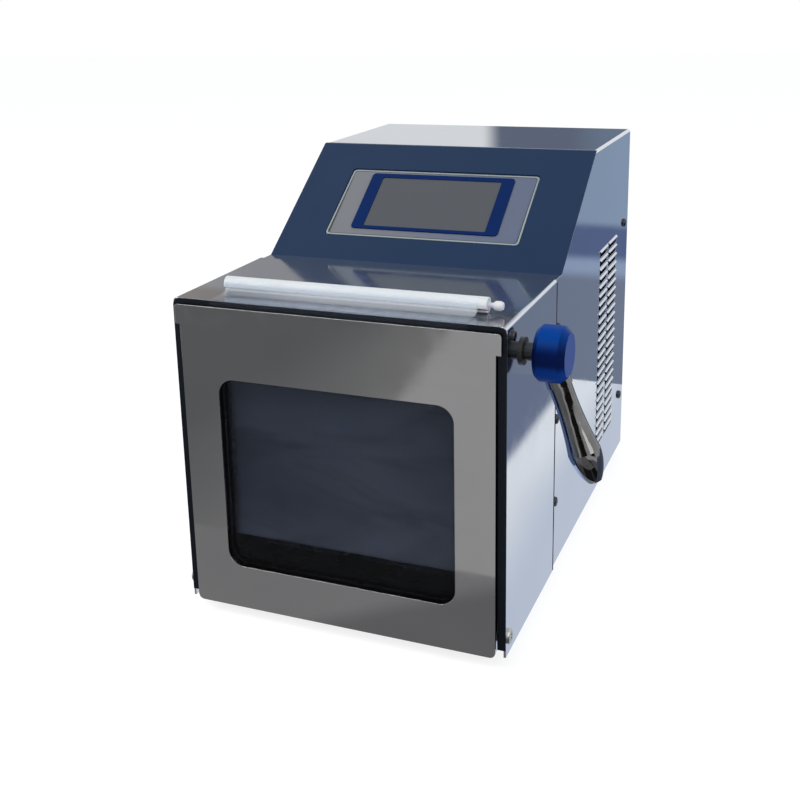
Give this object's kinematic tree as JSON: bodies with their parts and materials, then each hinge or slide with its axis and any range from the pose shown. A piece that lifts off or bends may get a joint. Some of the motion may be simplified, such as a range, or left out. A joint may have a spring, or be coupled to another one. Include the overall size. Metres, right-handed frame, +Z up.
{
  "type": "paddle blender",
  "caption": "Laboratory paddle blender in a polished steel case, with a windowed door that folds down, a side lock handle, reciprocating paddles and a sloped control screen.",
  "frame": {"origin": "centre of the case's footprint, on the bench plane under the four feet", "axes": "+Z up, +X to the operator's right as seen from the front, +Y from the door to the rear panel"},
  "size_m": [0.2844, 0.3915, 0.3005],
  "materials": {
    "case_steel": "polished stainless sheet",
    "door_steel": "polished stainless sheet",
    "plain_steel": "plain bright steel",
    "blackened_steel": "blackened steel",
    "inner_steel": "satin stainless sheet",
    "navy_paint": "smooth navy blue paint",
    "label_grey": "grey printed plastic film, unprinted here",
    "bezel_blue": "glossy dark blue plastic",
    "screen": "unlit grey display",
    "window": "clear toughened glass",
    "black_rubber": "black rubber",
    "hub_blue": "glossy bright blue plastic",
    "chrome": "mirror chrome",
    "bronze": "sintered bronze",
    "nylon": "natural nylon",
    "black_plastic": "black moulded plastic",
    "rocker_black": "glossy black plastic",
    "cast_aluminium": "cast and machined aluminium",
    "motor_grey": "grey enamel",
    "board_green": "green circuit board",
    "clip_white": "translucent white plastic",
    "bag_film": "clear thin film"
  },
  "bodies": {
    "case": {"base_plate": "inner_steel", "front_shell": "case_steel", "rear_shell": "case_steel", "bulkhead": "inner_steel", "rear_panel": "case_steel", "case_screws": "blackened_steel", "rubber_feet": "black_rubber", "foot_screws": "plain_steel", "control_fascia": "navy_paint", "label_plate": "label_grey", "screen_bezel": "bezel_blue", "screen_glass": "screen", "display_module": "black_plastic", "control_board": "board_green", "chamber_liner": "inner_steel", "edge_gasket": "black_rubber", "hinge_pins": "plain_steel", "hinge_spacers": "nylon", "lock_blocks": "cast_aluminium", "lock_bushes": "black_plastic", "guide_block": "cast_aluminium", "rod_bushes": "bronze", "rod_seals": "black_rubber", "drive_frame": "cast_aluminium", "crank_bearings": "plain_steel", "drive_belt": "black_rubber", "drive_motor": "motor_grey", "motor_cradle": "cast_aluminium", "power_supply": "cast_aluminium", "power_inlet": "black_plastic", "switch_body": "black_plastic", "fuse_holder": "black_plastic", "clip_sleeve": "clip_white", "sample_bag": "bag_film"},
    "door": {"door_skin": "door_steel", "window_glass": "window", "window_gasket": "black_rubber", "door_backing": "inner_steel", "door_screws": "plain_steel", "hinge_blocks": "nylon", "striker_brackets": "plain_steel", "striker_pins": "plain_steel"},
    "lock": {"lock_shaft": "blackened_steel", "lock_hook_left": "plain_steel", "lock_hook_right": "plain_steel", "lock_hub": "hub_blue", "lock_handle": "chrome"},
    "crank": {"crankshaft": "plain_steel", "eccentric_bearings": "plain_steel", "driven_pulley": "cast_aluminium"},
    "rotor": {"motor_shaft": "plain_steel", "drive_pulley": "cast_aluminium"},
    "left_paddle": {"paddle_left": "inner_steel", "paddle_rod_left": "plain_steel", "yoke_left": "plain_steel"},
    "right_paddle": {"paddle_right": "inner_steel", "paddle_rod_right": "plain_steel", "yoke_right": "plain_steel"},
    "rocker": {"switch_rocker": "rocker_black"},
    "clip_core": {"clip_rod": "clip_white"}
  },
  "joints": [
    {"name": "door_hinge", "type": "hinge", "parent": "case", "child": "door", "pos_m": [0, -0.186, 0.023], "axis": [1, 0, 0], "range_deg": [0, 90]},
    {"name": "lock_turn", "type": "hinge", "parent": "case", "child": "lock", "pos_m": [0, -0.156, 0.205], "axis": [1, 0, 0], "range_deg": [-60, 18]},
    {"name": "crank_turn", "type": "hinge", "parent": "case", "child": "crank", "pos_m": [0, -0.016, 0.11], "axis": [1, 0, 0], "range_deg": [-90, 90]},
    {"name": "motor_turn", "type": "hinge", "parent": "case", "child": "rotor", "pos_m": [0, 0.099, 0.068], "axis": [1, 0, 0], "range_deg": [-255, 255]},
    {"name": "left_paddle_slide", "type": "slide", "parent": "case", "child": "left_paddle", "axis": [0, 1, 0], "range_m": [-0.0115, 0.0115]},
    {"name": "right_paddle_slide", "type": "slide", "parent": "case", "child": "right_paddle", "axis": [0, 1, 0], "range_m": [-0.0115, 0.0115]},
    {"name": "rocker_tilt", "type": "hinge", "parent": "case", "child": "rocker", "pos_m": [-0.015, 0.182, 0.054], "axis": [1, 0, 0], "range_deg": [-22, 0]},
    {"name": "clip_slide", "type": "slide", "parent": "case", "child": "clip_core", "axis": [1, 0, 0], "range_m": [0, 0.18]}
  ],
  "couplings": [
    {"joint": "motor_turn", "follows": "crank_turn", "ratio": 2.8},
    {"joint": "left_paddle_slide", "follows": "crank_turn", "m_per_rad": 0.00725},
    {"joint": "right_paddle_slide", "follows": "crank_turn", "m_per_rad": -0.00725}
  ]
}
